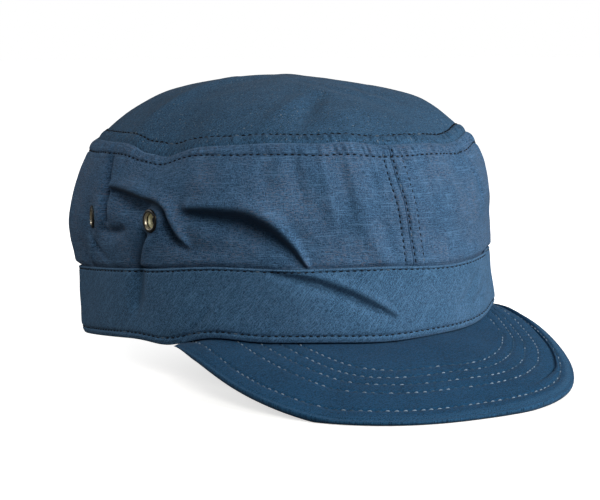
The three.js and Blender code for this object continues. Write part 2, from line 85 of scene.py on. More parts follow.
# folds and hollows: from, to, bow, (reach left, reach right), push
PANEL_FOLDS = [
    ((-88, 31), (-46, 15), 6, (6, 4.5), 1.0),
    ((-98, 36), (-45, 17), 6, (9, 7), 0.8),
    ((-105, 7.5), (-76, 7), 0, (2.5, 2.5), -0.6),
    ((-130, 36), (-104, 33), 5, (4, 3), 0.9),
    ((-110, 17), (-121, 3), 0, (4, 3), 0.8),
    ((-114.5, 16), (-124, 0), -0.4, (2.0, 2.6), -3.6),
    ((-147, 40), (-140.5, 20), 0.6, (2.8, 2.8), -5.2),
    ((-151, 46), (-143, 20), 1, (1.7, 2.2), 1.0),
    ((-137, 22), (-131, 21), 0, (6, 5), 1.6),
    ((-143, 15.5), (-128.5, 16), -1.9, (1.8, 2.4), -2.6),
    ((-153, 14.6), (-143.5, 3.5), -1.4, (1.3, 1.7), -1.5),
    ((-150, 17), (-160, 0), 1.5, (2, 3), 1.4),
    ((-166, 7), (-161, 1), 0, (4, 4), -1.6),
    ((-225, 15), (-175, 15), 0, (10, 12), 1.6),
    ((-25, 38), (-12, 2), -2, (5, 6), 0.9),
    ((-12.5, 19), (-8, 4), 0, (2.4, 3), -0.6),
    ((-19, 13), (-12, 1), 0, (3, 3), 0.5),
    ((47, 46), (54, 24), 0, (1.6, 2.2), -1.4),
    ((40, 44), (49, 31), 0, (4, 4), 0.7),
    ((20, 40), (28, 22), 0, (4, 4), -0.5),
    ((72, 8), (76, 24), 0, (15, 15), -2.2),
    ((92, 31), (130, 7), 4, (3.6, 6), -2.6),
    ((160, 36), (168, 10), 2, (3.4, 5), -2.2),
    ((206, 28), (246, 5), 4, (3.6, 6), -2.6),
    ((-262, 6), (-224, 30), 4, (6, 4), -2.3),
    ((-116, 50), (-106, 50), 0, (7, 7), -1.6),
    ((-88, 43), (-84, 34), 0, (3, 4), -0.6),
    ((-62, 43), (-60, 30), 0, (3, 3), -0.6),
    ((-49, 43), (-46, 26), 0, (3, 3.6), -0.8),
    ((-38, 43), (-33, 18), 0, (2.6, 3), 0.7),
    ((-30, 43), (-26, 22), 0, (2.4, 3), -0.9),
    ((-16, 43), (-14, 28), 0, (2.2, 2.4), -0.6),
    ((13, 43), (15, 25), 0, (2.4, 3), -0.8),
    ((26, 43), (31, 20), 0, (3, 3), 0.6),
    ((36, 43), (40, 26), 0, (2.4, 3.4), -0.8),
]
BAND_FOLDS = [
    ((-122, 31), (-124.5, 14), 0, (3.8, 3.4), -2.8),
    ((-105, 0), (-89, 10.5), -1, (1.3, 2), -0.9),
    ((28, 10), (45, 21), 0, (1.6, 2.4), -0.8),
    ((40, 9), (58, 17), -1, (1.6, 2.4), -0.9),
    ((67, 13), (74, 30), 0, (10, 10), -2),
    ((205, 22), (240, 9), 2, (3.4, 5), -1.3),
    ((-235, 10), (-205, 21), 2, (5, 3.4), -1.2),
]
# cloth that hangs over: it stands out on the left of a line and falls back on its right;
# the line, its reach from place to place, how much further it reaches behind, steepness
PANEL_HANGING = [
    (
        [(-92, 22.6), (-83, 21.8), (-72, 20.6), (-65, 18.4), (-59.2, 15.4), (-54.4, 11.5), (-50.5, 7.2), (-46.6, 0.5)],
        [2.8, 4.2, 5.1, 5.3, 4.6, 3.5, 2.5, 1.3],
        1.05, 2.3,
    ),
    (
        [(-137, 31), (-127, 31.4), (-118, 30.2), (-109, 28), (-103.6, 24.4), (-101, 18.8), (-98.2, 13.2), (-95.2, 9)],
        [1.8, 3.4, 4.4, 3.6, 2.8, 3.2, 2.8, 1.4],
        1.3, 2.4,
    ),
    ([(-112.8, 17), (-117, 12), (-121, 6), (-124, -1)], [2.6, 4.0, 4.6, 4.6], 1.1, 0.3),
]
BAND_HANGING = [
    (
        [(-60, 27.2), (-47, 24.8), (-37.4, 21.9), (-28.4, 18.6), (-18.6, 14.2), (-10, 10)],
        [1.4, 2.4, 2.6, 2.5, 2.2, 1.2],
        1.3, 1.1,
    ),
    ([(-121, 30), (-122.5, 24), (-124, 18), (-124.5, 12)], [3.4, 5.0, 4.6, 2.6], 1.1, 0.25),
]
TOP_FOLDS = [
    ((-74, -3), (-26, 0), 2, (6, 9), 1.3),
    ((-72, -1), (-19, -9), 2.4, (3, 4), 0.7),
    ((-18, -10), (8, -49), 0, (4, 3.4), 0.8),
    ((-60, 22), (-34, 30), 0, (12, 12), 0.8),
    ((-2, -34), (18, -62), -3, (6, 8), -1.2),
    ((10, -34), (25, -50), 0, (5, 5), -1.0),
    ((-16, -24), (4, -54), -2, (4, 6), 0.5),
    ((-44, -58), (-20, -47), 0, (3.6, 3.6), 0.9),
    ((-31, -65), (-12, -49), 0, (3.6, 3.6), -1.2),
    ((-24, -70), (-4, -63), 0, (4, 5), 0.7),
    ((24, -14), (44, 16), 4, (9, 9), -1.5),
    ((40, -50), (54, -26), 0, (14, 14), 1.8),
    ((50, -40), (64, -16), 0, (8, 8), 0.4),
    ((20, 30), (52, 52), 3, (8, 8), 1.4),
    ((-8, 62), (16, 74), 0, (10, 10), -1.6),
]
# how far the cloth stands from its ovals at these places: degrees, up, spreads, push
PANEL_FULLNESS = [
    (-122, 28, 24, 16, -1.1),
    (-122, 0, 22, 5, 1.0),
    (52, 32, 20, 12, 0.6),
]
BAND_FULLNESS = [(56, 14, 26, 30, -1.2)]
PEAK = {
    "y": -46, "half_width": 77.6, "reach": 113.4, "squareness": 2.46, "shift": -5.9, "skew": -1.4,
    "tuck": 4, "overhang": 0.4, "lying": 0.82, "rise": 1.1, "left_lift": 3.4, "crown": 1.4,
    "thickness": 3.0, "corner_thickness": 2.6, "round": 1.1,
}
GAP = 0.3
OFF_TABLE = 0.02

# name, degrees, up, how far the cloth leans there
EYELETS = [
    ("eyelet_right_front", -67, 20.6, 0.22),
    ("eyelet_right_back", -90.5, 19.4, 0.3),
    ("eyelet_left_front", 67, 20.6, 0.0),
    ("eyelet_left_back", 90.5, 19.4, 0.0),
]
# where the cloth round an eyelet is held flat, and where it leans: radius, sharpness
CALM = (7.0, 8)
LEAN = (7.2, 4)
EYELET_HOLE = 3.5

# rows of stitches: how far they run from their seam
CROWN_ROW = 5.2
PANEL_ROW = 4.5
BAND_TOP_ROW = 1.1
HEM_ROW = 2.6
# rows beside the front seam: around at even steps from the band to the crown
SEAM_ROWS = {
    "right": (-2.6, -2.9, -5.2, -7.6, -7.0),
    "middle": (2.4, 1.6, -0.6, -3.0, -2.5),
    "left": (6.9, 6.1, 4.0, 2.2, 2.9),
}
# and beside the back seam, which is straight
BACK_ROW = 5
# rows of the peak: distance from its rim at these angles
ROW_ANGLES = [-80, -50, -20, 0, 20, 40, 60, 80]
BOARD_EDGE = {
    "degrees": [15, 18, 27, 34, 44, 52, 62, 90],
    "inset": [9.8, 9.3, 8.2, 6.3, 5.3, 4.9, 4.6, 4.8],
}
PEAK_ROWS = [
    [6.1, 5.6, 6.4, 7.0, 5.4, 4.2, 4.6, 5.2],
    [17.6, 17.8, 18.8, 18.6, 15.4, 11.9, 11.6, 12.5],
    [24.0, 24.0, 25.1, 24.4, 20.2, 16.9, 16.6, 17.6],
    [29.8, 29.5, 30.5, 30.4, 25.6, 20.7, 19.9, 21.5],
    [34.4, 34.8, 36.7, 35.8, 29.8, 24.4, 24.6, 26.0],
]


def bell(distance, spread):
    return np.exp(-((distance / spread) ** 2))


def smooth(x, low, high):
    t = np.clip((x - low) / (high - low), 0, 1)
    return t * t * (3 - 2 * t)


def unit(vectors):
    return vectors / np.linalg.norm(vectors, axis=-1, keepdims=True)


def pair(a, b):
    return np.broadcast_arrays(np.asarray(a, float), np.asarray(b, float))


def zeros(a, b):
    return np.zeros(np.broadcast(a, b).shape)


def turn_from(at, degrees):
    return (degrees - at + 180) % 360 - 180


def cubic(before, a, b, after, u):
    slope_a = (b - before) / 2
    slope_b = (after - a) / 2
    return a + slope_a * u + (3 * (b - a) - 2 * slope_a - slope_b) * u**2 + (slope_a + slope_b - 2 * (b - a)) * u**3


def along(values, t):
    """Smooth curve through evenly spaced values, at t from 0 to 1."""
    v = np.asarray(values, float)
    v = np.concatenate([[2 * v[0] - v[1]], v, [2 * v[-1] - v[-2]]])
    place = np.clip(t, 0, 1) * (len(v) - 3)
    i = np.minimum(np.floor(place).astype(int), len(v) - 4)
    return cubic(v[i], v[i + 1], v[i + 2], v[i + 3], place - i)


def ripple(place, pitch, seed):
    """Smooth uneven wave from about -1 to 1, with about one rise or fall for each pitch."""
    count, middle = 997, 400
    values = np.random.default_rng(seed).uniform(-1, 1, count)
    at = np.asarray(place, float) / pitch + middle
    i = np.floor(at).astype(int)
    return cubic(*[values[(i + k) % count] for k in (-1, 0, 1, 2)], at - i)


def unevenness(x, y, size, seed):
    """Smooth uneven surface from about -1 to 1, with lumps of that size."""
    count, middle = 97, 40
    values = np.random.default_rng(seed).uniform(-1, 1, (count, count))
    ax, ay = x / size + middle, y / size + middle
    i, j = np.floor(ax).astype(int), np.floor(ay).astype(int)
    four = (-1, 0, 1, 2)
    rows = [cubic(*[values[(i + k) % count, (j + m) % count] for m in four], ay - j) for k in four]
    return cubic(*rows, ax - i)


def fold_push(folds, x, y):
    """How far the cloth stands out for a table of folds."""
    total = zeros(x, y)
    for (x0, y0), (x1, y1), bow, (left, right), push in folds:
        run = (x1 - x0, y1 - y0)
        length = math.hypot(*run)
        share = ((x - x0) * run[0] + (y - y0) * run[1]) / length**2
        inside = np.clip(share, 0, 1)
        across = ((y - y0) * run[0] - (x - x0) * run[1]) / length - bow * 4 * inside * (1 - inside)
        soft = np.where(across > 0, left, right)
        taper = 1 - 0.3 * (2 * inside - 1) ** 2
        total += push * taper * bell(across, soft) * bell(np.abs(share - inside) * length, (left + right) / 2)
    return total


def hang(across, wide, steepness):
    return steepness * across * bell(across, wide)


# a mask for painted shade along a hanging fold's line; it does not shape the cloth
def crease_shade(across, wide, steepness):
    return bell(across, 0.6 * wide)


def hanging_push(folds, x, y, shape=hang):
    """How far the cloth stands out for a table of hanging folds; or, with the shade-mask shape, a mask for painted
    shade that is 1 along their lines.
    """
    x, y = pair(x, y)
    total = zeros(x, y)
    for points, reaches, behind, steepness in folds:
        share = np.linspace(0, 1, 64)
        line = np.stack([along(column, share) for column in np.array(points, float).T], axis=-1)
        reach = along(reaches, share)
        run = np.gradient(line, axis=0)
        run /= np.hypot(run[:, 0], run[:, 1])[:, None]
        far = 3 * behind * reach.max()
        near = (np.abs(x - line[:, 0].mean()) < np.ptp(line[:, 0]) / 2 + far) & (
            np.abs(y - line[:, 1].mean()) < np.ptp(line[:, 1]) / 2 + far
        )
        off = np.stack([x[near], y[near]], axis=-1)[:, None] - line
        closest = (off**2).sum(-1).argmin(1)
        off = off[np.arange(len(off)), closest]
        ahead = run[closest]
        across = off[:, 1] * ahead[:, 0] - off[:, 0] * ahead[:, 1]
        past = off[:, 0] * ahead[:, 0] + off[:, 1] * ahead[:, 1]
        wide = reach[closest] * np.where(across > 0, 1, behind)
        total[near] += shape(across, wide, steepness) * bell(past, reach[closest])
    return total


def fullness(table, degrees, up):
    total = zeros(degrees, up)
    for at, height, spread, reach, push in table:
        total += push * bell(turn_from(at, degrees), spread) * bell(up - height, reach)
    return total


def line_height(name, degrees):
    line = LINES[name]
    angle = np.radians(degrees)
    z = line["back"] + (line["front"] - line["back"]) * (1 + np.cos(angle)) / 2
    z = z + line["side"] * np.sin(angle) ** 2
    for at, spread, lift in WAVES[name]:
        z = z + lift * bell(turn_from(at, degrees), spread)
    return z


def oval_point(length, width, y, degrees, z, inset):
    angle = np.radians(degrees)
    out_x, out_y = np.sin(angle) / width, -np.cos(angle) / length
    size = np.hypot(out_x, out_y)
    x = width * np.sin(angle) - inset * out_x / size
    y = y - length * np.cos(angle) - inset * out_y / size
    return np.stack(np.broadcast_arrays(x, y, z), axis=-1)


def row_groove(distance, depth=0.45, width=0.6):
    return -depth * bell(distance, width)


def drawn(around):
    """1 where the sewing draws the cloth up most, by the front seam, and 0 far from it."""
    return bell(around - 5, 60)


def past_row(under, row, start, fade):
    """Comes in past a row of stitches and fades away from it."""
    return smooth(under, row, row + start) * np.exp(-(under - row) / fade)


# ---- Cloth surfaces


def band_detail(around, up):
    """Seams, puckers and slackness of the band's cloth."""
    push = row_groove(up - HEM_ROW) + row_groove(BAND_HEIGHT - up - BAND_TOP_ROW, 0.4, 0.5)
    push += 0.22 * np.sin(np.clip((BAND_HEIGHT - up) / BAND_TOP_ROW, 0, 1) * math.pi)
    push += 0.18 * np.sin(np.clip(up / HEM_ROW, 0, 1) * math.pi)
    push += 0.12 * ripple(around, 3.1, 11) * bell(up - HEM_ROW - 1, 3)
    push += 0.1 * ripple(around, 3.7, 12) * bell(BAND_HEIGHT - up - 2, 3)
    push += 0.35 * unevenness(around + 0.7 * up, up, 19, 13) * smooth(up, 1, 8)
    push += 0.12 * unevenness(around - up, up, 6, 14) * smooth(up, 1, 6)
    return push + row_groove(np.abs(around) - BACK, 0.5, 0.6)


def band_push(degrees, around, up):
    push = fold_push(BAND_FOLDS, around, up) + hanging_push(BAND_HANGING, around, up)
    return push + fullness(BAND_FULLNESS, degrees, up)


def band_point(degrees, up, inset, detail=True):
    degrees, up = pair(degrees, up)
    t = up / BAND_HEIGHT
    top = LINES["band_top"]
    length, width, y = (HEM[k] + (top[k] - HEM[k]) * t for k in ("length", "width", "y"))
    low = np.maximum(line_height("hem", degrees), 0)
    z = low + (line_height("band_top", degrees) - low) * t
    around = degrees * AROUND_PER_DEGREE
    roll = HEM_ROLL["inset"] * np.maximum(0, 1 - up / HEM_ROLL["height"]) ** 2
    push = band_push(degrees, around, up)
    if detail:
        push = push + band_detail(around, up)
    return oval_point(length, width, y, degrees, z, inset + roll - push)


def seam_row(name, up):
    return along(SEAM_ROWS[name], up / PANEL_HEIGHT)


def seam_raise(around, up):
    """The strips of doubled cloth between the rows beside the front and back seams."""
    raised = zeros(around, up)
    front = [seam_row(name, up) for name in ("right", "middle", "left")]
    backs = [(at - BACK_ROW, at, at + BACK_ROW) for at in (BACK, -BACK)]
    for right, middle, left in (front, *backs):
        raised += 0.28 * smooth(around, right - 0.3, right + 0.9) * (1 - smooth(around, middle - 0.8, middle + 0.2))
        raised += 0.55 * smooth(around, middle - 0.5, middle + 0.5) * (1 - smooth(around, left - 0.6, left + 0.4))
        for row in (right, middle, left):
            raised += row_groove(around - row, 0.3, 0.5)
    return raised


def panel_row(around):
    """How far under the crown seam the panels' row of stitches runs."""
    return PANEL_ROW + 0.25 * ripple(around, 14, 20) - 1.2 * bell(around + 108, 24) + 0.3 * bell(around + 25, 25)


def panel_detail(around, up):
    """Seams, puckers and slackness of the side panels' cloth."""
    under = PANEL_HEIGHT - up
    row = panel_row(around)
    swell = np.sin(np.clip(under / row, 0, 1) * math.pi)
    push = 0.38 * swell**0.8 + row_groove(under - row, 0.4, 0.5)
    slant = around + 0.3 * up
    loose = 0.6 + 0.4 * ripple(around, 35, 21)
    pucker = loose * (1 + 0.7 * drawn(around))
    push += 0.62 * pucker * ripple(slant, 1.3, 22) * swell
    push += 0.42 * pucker * ripple(slant, 1.7, 23) * past_row(under, row, 1, 5)
    push += 0.5 * loose * ripple(slant, 3.8, 27) * past_row(under, row, 2, 13)
    push -= (0.3 + 0.7 * drawn(around)) * bell(under - 0.2, 0.8)
    push += 0.14 * ripple(around, 4.1, 24) * np.exp(-np.maximum(up, 0) / 5)
    push += 0.4 * unevenness(around, up, 17, 25) * smooth(up, 2, 10) * smooth(under, 4, 12)
    push += 0.14 * unevenness(around + up, up, 5.5, 26) * smooth(up, 2, 8)
    return push


def calm(around, up):
    """How free the cloth is (0 at an eyelet), and the lean it has there."""
    lean = zeros(around, up)
    freedom = lean + 1
    for _, degrees, height, slope in EYELETS:
        off = around - degrees * AROUND_PER_DEGREE
        distance = np.hypot(off, up - height)
        held, leaning = (np.exp(-((distance / radius) ** sharpness)) for radius, sharpness in (CALM, LEAN))
        freedom = freedom * (1 - held)
        lean += slope * off * leaning
    return freedom, lean


def panel_point(degrees, up, inset, detail=True):
    """The side panels, which run on behind the band where up is below 0."""
    degrees, up = pair(degrees, up)
    around = degrees * AROUND_PER_DEGREE
    t = up / PANEL_HEIGHT
    length, width, y = (along(PANEL_OVALS[k], t) for k in ("length", "width", "y"))
    z = line_height("band_top", degrees)
    z = z + (line_height("crown_seam", degrees) - z) * t
    lap = 1 - smooth(up, -0.5, LAP_SWELL)
    freedom, lean = calm(around, up)
    folds = fold_push(PANEL_FOLDS, around, up) + hanging_push(PANEL_HANGING, around, up)
    push = (folds * freedom + lean + fullness(PANEL_FULLNESS, degrees, up)) * (1 - lap)
    push += band_push(degrees, around, np.full(up.shape, BAND_HEIGHT)) * lap
    if detail:
        push = push + panel_detail(around, up) * (0.3 + 0.7 * freedom) * (1 - 0.6 * lap)
        push = push + seam_raise(around, np.clip(up, 0, PANEL_HEIGHT))
    above = oval_point(length, width, y, degrees, z, inset + BEHIND_BAND * lap - push)
    below = band_point(degrees, BAND_HEIGHT + np.minimum(up, 0), inset + BEHIND_BAND, detail=False)
    return np.where((up <= 0)[..., None], below, above)


def crown_row(around):
    """How far inside the crown seam the crown's row of stitches runs."""
    return CROWN_ROW + 0.3 * ripple(around, 13, 30)


def top_detail(degrees, x, y, under):
    """Seam, puckers and slackness of the crown's cloth."""
    around = degrees * CROWN_AROUND_PER_DEGREE
    row = crown_row(around)
    swell = np.sin(np.clip(under / row, 0, 1) * math.pi)
    push = 0.75 * swell**0.8 + row_groove(under - row, 0.35, 0.6)
    push += 0.42 * (1 + 0.7 * drawn(around)) * ripple(around, 1.4, 31) * swell
    push -= (0.7 + 0.5 * drawn(around)) * bell(under, 0.9)
    push += 0.22 * ripple(around, 4.3, 32) * past_row(under, row, 1, 7)
    push += 0.6 * unevenness(x, y, 24, 33) * smooth(under, 4, 16)
    push += 0.15 * unevenness(x + y, y, 7, 34) * smooth(under, 2, 8)
    return push


def top_point(degrees, share, detail=True):
    """The crown's top, at this share of the way from its middle to its seam."""
    degrees, share = pair(degrees, share)
    line = LINES["crown_seam"]
    angle = np.radians(degrees)

    def plain(r):
        x = (line["width"] - TOP_CLOTH) * r * np.sin(angle)
        y = line["y"] - (line["length"] - TOP_CLOTH) * r * np.cos(angle)
        tilt = (line["front"] - line["back"]) * (1 + r * np.cos(angle)) / 2
        return np.stack([x, y, line["back"] + tilt + DOME_RISE * (1 - r**DOME_FULLNESS)], axis=-1)

    edge = panel_point(degrees, PANEL_HEIGHT - GAP, TOP_CLOTH, detail=False)
    point = plain(share) + (edge - plain(np.ones(share.shape))) * (share**SEAM_REACH)[..., None]
    push = 1.25 * fold_push(TOP_FOLDS, point[..., 0], point[..., 1]) * (1 - share**SEAM_REACH)
    if detail:
        steep = np.hypot(1, 0.8 * DOME_RISE * DOME_FULLNESS * share ** (DOME_FULLNESS - 1) / DOME_ARC)
        push = push + top_detail(degrees, point[..., 0], point[..., 1], (1 - share) * DOME_ARC * steep)
    point[..., 2] += push
    return point


def hem_reach(angle):
    """How far the hem is from the middle of the peak's arc, in that direction."""
    a, b = HEM["length"], HEM["width"]
    qa = (np.sin(angle) / b) ** 2 + (np.cos(angle) / a) ** 2
    qb = -2 * PEAK["y"] * np.cos(angle) / a**2
    qc = (PEAK["y"] / a) ** 2 - 1
    return (-qb + np.sqrt(qb**2 - 4 * qa * qc)) / (2 * qa)


def hem_height_at(x, y):
    return line_height("hem", np.degrees(np.arctan2(x / HEM["width"], -y / HEM["length"])))


def peak_inner(degrees):
    angle = np.radians(degrees)
    reach = hem_reach(angle) - PEAK["tuck"]
    x, y = reach * np.sin(angle), PEAK["y"] - reach * np.cos(angle)
    return np.stack([x, y, hem_height_at(x, y) - GAP], axis=-1)


def peak_rim(degrees):
    angle = np.radians(degrees)
    n = PEAK["squareness"]
    sideways = np.abs(np.sin(angle) / PEAK["half_width"]) ** n
    forwards = np.abs(np.cos(angle) / PEAK["reach"]) ** n
    radius = (sideways + forwards) ** (-1 / n)
    x, y = radius * np.sin(angle), -radius * np.cos(angle)
    climb = np.clip(1 + y / (PEAK["reach"] * PEAK["lying"]), 0, 1) ** PEAK["rise"]
    left = np.maximum(x, 0) / PEAK["half_width"]
    turn = np.radians(PEAK["skew"]) * (1 - climb)
    x, y = x * np.cos(turn) - y * np.sin(turn), x * np.sin(turn) + y * np.cos(turn)
    x = x + PEAK["shift"] * (1 - climb)
    least = hem_reach(np.arctan2(x, -y)) + PEAK["overhang"]
    size = np.hypot(x, y)
    x, y = x * np.maximum(size, least) / size, y * np.maximum(size, least) / size
    y = y + PEAK["y"]
    lying = PEAK["thickness"] - PEAK["round"] + PEAK["left_lift"] * left
    z = lying + (hem_height_at(x, y) - GAP - lying) * climb
    return np.stack([x, y, z], axis=-1), climb


def rim_distance(points, rim):
    """Distance in plan from each point to the rim."""
    flat = points[..., :2].reshape(-1, 2)
    a, b = rim[:-1, :2], rim[1:, :2]
    run = b - a
    best = np.full(len(flat), 1e9)
    for start, step in zip(a, run):
        t = np.clip(((flat - start) @ step) / (step @ step), 0, 1)
        best = np.minimum(best, np.linalg.norm(flat - start - t[:, None] * step, axis=1))
    return best.reshape(points.shape[:-1])


PEAK_RIM_LINE = peak_rim(np.linspace(-90, 90, 241))[0]


def peak_plain(degrees, share):
    degrees, share = pair(degrees, share)
    point = peak_inner(degrees) * (1 - share[..., None]) + peak_rim(degrees)[0] * share[..., None]
    point[..., 2] += PEAK["crown"] * 4 * share * (1 - share) * np.cos(np.radians(degrees))
    return point


def peak_point(degrees, share):
    point = peak_plain(degrees, share)
    degrees = np.broadcast_to(degrees, point.shape[:-1])
    inset = rim_distance(point, PEAK_RIM_LINE)
    push = np.zeros(inset.shape)
    rows = [np.interp(degrees, ROW_ANGLES, row) for row in PEAK_ROWS]
    for row in rows:
        push += row_groove(inset - row, 0.3, 0.6)
    push += 0.3 * np.sin(np.clip(inset / rows[0], 0, 1) * math.pi)
    # the board's edge shows as a sharp step down from the rim on the left half
    beyond = inset - np.interp(degrees, BOARD_EDGE["degrees"], BOARD_EDGE["inset"])
    step = smooth(degrees, 12, 34)
    push -= step * 0.95 * smooth(beyond, -0.3, 0.25) * np.exp(-np.maximum(beyond, 0) / 2.6)
    push += step * 0.35 * bell(beyond + 1.3, 1.1)
    x, y = point[..., 0], point[..., 1]
    push += 0.12 * unevenness(x, y, 12, 40) + 0.05 * unevenness(x, y, 4, 41)
    point[..., 2] += push * smooth(inset, 0, 1.5)
    return point


# ---- Meshes


def add_object(name, data):
    piece = bpy.data.objects.new(name, data)
    SCENE.collection.objects.link(piece)
    return piece


def add_mesh(name, points, faces, uv=None, tone=None, slots=None):
    """A smooth mesh from points in the cap's frame and an array of faces with one number of corners."""
    faces = np.asarray(faces, np.int32)
    corners = faces.shape[1]
    points = (points.reshape(-1, 3) + [0, FOOTPRINT_SHIFT_Y, 0]) / 1000
    mesh = bpy.data.meshes.new(name)
    mesh.vertices.add(len(points))
    mesh.vertices.foreach_set("co", points.astype(np.float32).ravel())
    mesh.loops.add(faces.size)
    mesh.loops.foreach_set("vertex_index", faces.ravel())
    mesh.polygons.add(len(faces))
    mesh.polygons.foreach_set("loop_start", np.arange(len(faces), dtype=np.int32) * corners)
    mesh.polygons.foreach_set("loop_total", np.full(len(faces), corners, np.int32))
    mesh.polygons.foreach_set("use_smooth", np.ones(len(faces), bool))
    if slots is not None:
        mesh.polygons.foreach_set("material_index", np.asarray(slots, np.int32))
    mesh.update(calc_edges=True)
    if uv is not None:
        layer = mesh.uv_layers.new(name="cloth")
        layer.data.foreach_set("uv", np.asarray(uv, np.float32).reshape(-1, 2)[faces.ravel()].ravel())
    if tone is not None:
        attribute = mesh.attributes.new("tone", "FLOAT", "POINT")
        attribute.data.foreach_set("value", np.asarray(tone, np.float32).ravel())
    mesh.validate()
    return add_object(name, mesh)


def grid_faces(rows, columns, close_rows=False, close_columns=False):
    i = np.arange(rows if close_rows else rows - 1)
    j = np.arange(columns if close_columns else columns - 1)
    i, j = np.meshgrid(i, j, indexing="ij")
    i2, j2 = (i + 1) % rows, (j + 1) % columns
    return np.stack([i * columns + j, i2 * columns + j, i2 * columns + j2, i * columns + j2], axis=-1).reshape(-1, 4)


def steps(*stretches):
    """Heights from runs of (to, step), starting from the first number."""
    values = [stretches[0]]
    for to, step in stretches[1:]:
        n = max(1, round(abs(to - values[-1]) / step))
        values.extend(np.linspace(values[-1], to, n + 1)[1:])
    return np.array(values)


def make_band():
    count = 960
    degrees = np.linspace(-180, 180, count, endpoint=False)
    outer = steps(0.0, (1.6, 0.4), (3.6, 0.25), (24, 0.85), (25.8, 0.45), (27.6, 0.22))
    section = [(up, 0.0) for up in outer]
    section += [(27.85, 0.12), (28.0, 0.35), (28.0, 0.6), (27.8, 0.85), (27.2, 1.0)]
    section += [(up, 1.0) for up in (24, 19, 14, 9, 5, 3, 1.5)]
    section += [(0.5, 0.9), (0.1, 0.6), (0.0, 0.3)]
    up, inset = (np.array(v) for v in zip(*section))
    points = band_point(degrees[:, None], up, inset)
    around = degrees[:, None] * AROUND_PER_DEGREE
    uv = np.stack(np.broadcast_arrays(around, up), axis=-1)
    # tone: 1 where the band's edges are rubbed pale, below 0 where shade is painted along its hanging folds
    tone = np.where((up > 27.4) | (up < 0.7), 1.0, -0.5 * hanging_push(BAND_HANGING, around, up, crease_shade))
    faces = grid_faces(count, len(up), close_rows=True, close_columns=True)
    return add_mesh("band_cloth", points, faces, uv, tone)


def end_faces(first, columns):
    """Faces that close one end of a wall whose section runs up one side and down the other."""
    j = np.arange(columns // 2 - 1)
    return first + np.stack([j, j + 1, columns - 2 - j, columns - 1 - j], axis=1)


def hole_walls(cut, columns, outer):
    """Faces that join the cloth's outer and inner layers round the holes cut in both."""
    cut = cut[np.all(cut % columns < outer, axis=1)]
    ways = np.concatenate([cut[:, [k, (k + 1) % 4]] for k in range(4)])
    inside = set(map(tuple, ways.tolist()))
    rim = np.array([way for way in ways.tolist() if (way[1], way[0]) not in inside])
    across = rim - rim % columns + columns - 1 - rim % columns
    return np.stack([rim[:, 0], rim[:, 1], across[:, 1], across[:, 0]], axis=1)


def make_panel(side):
    outer = steps(-5.0, (0, 1.2), (4, 0.6), (40, 0.9), (42.4, 0.6), (45.4, 0.3), (46.8, 0.45))
    section = [(up, 0.0) for up in outer]
    section += [(47.25, 0.08), (47.6, 0.28), (47.75, 0.5), (47.75, 0.66), (47.6, 0.84), (47.2, 1.0)]
    section += [(up, CLOTH) for up in outer[::-1]]
    up, inset = (np.array(v) for v in zip(*section))
    run = steps(0.0, (170, 0.42), (BACK, 0.8))
    t = run[:, None] / run[-1]
    front = seam_row("middle", np.clip(up, 0, PANEL_HEIGHT)) - 0.9
    # each panel is tucked behind the other at one of its ends
    start, end = (front, BACK + 0.6) if side == "left" else (front + 2.5, -BACK - 2.2)
    around = start + t * (end - start)
    if side == "left":
        edge = 1 - smooth(around - front, 0, 0.5)
        extra = 0.3 * edge**2 + 1.5 * smooth(around, BACK - 3.4, BACK - 2.3)
    else:
        extra = 1.3 * smooth(around, front - 0.6, front + 0.5)
    grid_up = np.broadcast_to(up, around.shape)
    points = panel_point(around / AROUND_PER_DEGREE, grid_up, inset + extra)
    faces = grid_faces(len(run), len(up), close_columns=True)
    flat = np.stack([around, grid_up], axis=-1).reshape(-1, 2)
    middle = flat[faces].mean(axis=1)
    hole = np.zeros(len(faces), bool)
    for name, at, height, _ in EYELETS:
        if side in name:
            hole |= np.hypot(middle[:, 0] - at * AROUND_PER_DEGREE, middle[:, 1] - height) < EYELET_HOLE
    walls = hole_walls(faces[hole], len(up), len(outer))
    ends = [end_faces(0, len(up)), end_faces((len(run) - 1) * len(up), len(up))[:, ::-1]]
    faces = np.concatenate([faces[~hole], walls, *ends])
    if side == "right":
        faces = faces[:, ::-1]
    # tone: 1 where the panel's top edge is rubbed pale, below 0 where shade is painted along its hanging folds
    tone = np.where(up > 47.3, 1.0, -hanging_push(PANEL_HANGING, around, grid_up, crease_shade))
    return add_mesh(f"side_panel_{side}_cloth", points, faces, flat, tone)


def make_top():
    count = 860
    degrees = np.linspace(180, -180, count, endpoint=False)
    under = steps(0.0, (0.8, 0.2), (4.2, 0.45), (6.4, 0.25), (14, 0.8), (DOME_ARC, 1.35))
    centre = 0.004
    shares = (1 - under / DOME_ARC)[::-1]
    shares[0] = centre
    outer = top_point(degrees[:, None], shares)
    # the edge turned down inside the panels: up, inset
    turned = [(47.4, 1.35), (46.6, 1.5), (44, 1.5), (43, 1.9), (44, 2.3), (46.6, 2.3)]
    up, inset = (np.array(v) for v in zip(*turned))
    edge = panel_point(degrees[:, None], up, inset, detail=False)
    shares = np.array([0.985, 0.95, 0.9, 0.8, 0.65, 0.45, 0.25, centre])
    inner = top_point(degrees[:, None], shares, detail=False)
    inner[..., 2] -= TOP_CLOTH
    points = np.concatenate([outer, edge, inner], axis=1)
    faces = grid_faces(count, points.shape[1], close_rows=True)
    return add_mesh("crown_top_cloth", points, faces, points[..., :2], np.zeros(points.shape[:2]))


